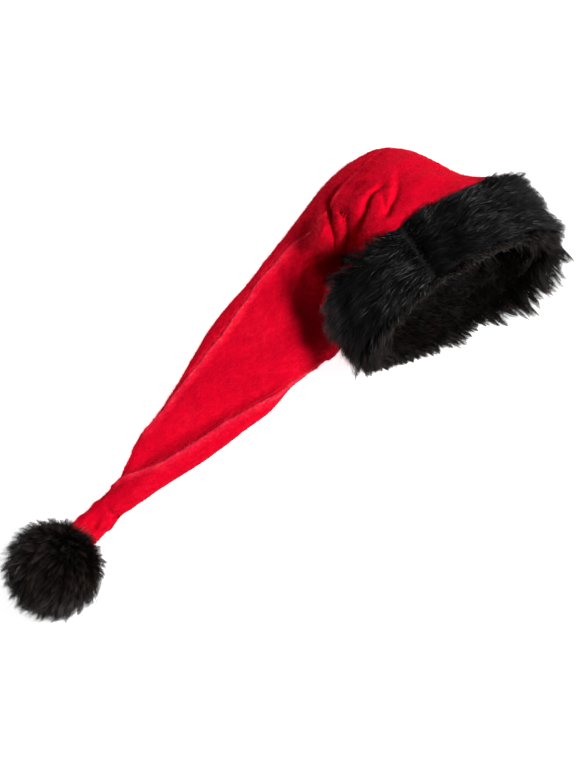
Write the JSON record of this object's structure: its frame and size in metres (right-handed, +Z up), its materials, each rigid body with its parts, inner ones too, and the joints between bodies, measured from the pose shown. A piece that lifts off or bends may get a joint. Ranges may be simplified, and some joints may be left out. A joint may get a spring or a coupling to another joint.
{
  "type": "santa hat",
  "caption": "Long bent santa hat lying on its side: sewn red plush crown with a rolled, tapering tail, wide black faux-fur cuff round an oval head opening, black fur pompom.",
  "frame": {"origin": "middle of the hat's outline in plan, on the floor it lies on", "axes": "+X from the pompom towards the cuff, +Y from the head opening towards the back of the crown, +Z up from the floor"},
  "size_m": [0.6776, 0.2346, 0.1927],
  "materials": {
    "front_plush": "short velvet pile",
    "back_plush": "short velvet pile",
    "cuff_fur": "long faux-fur pile",
    "pompom_fur": "long faux-fur pile"
  },
  "bodies": {
    "root": {"crown_front_panel": "front_plush", "crown_back_panel": "back_plush", "fur_cuff": "cuff_fur", "pompom": "pompom_fur"}
  },
  "joints": []
}
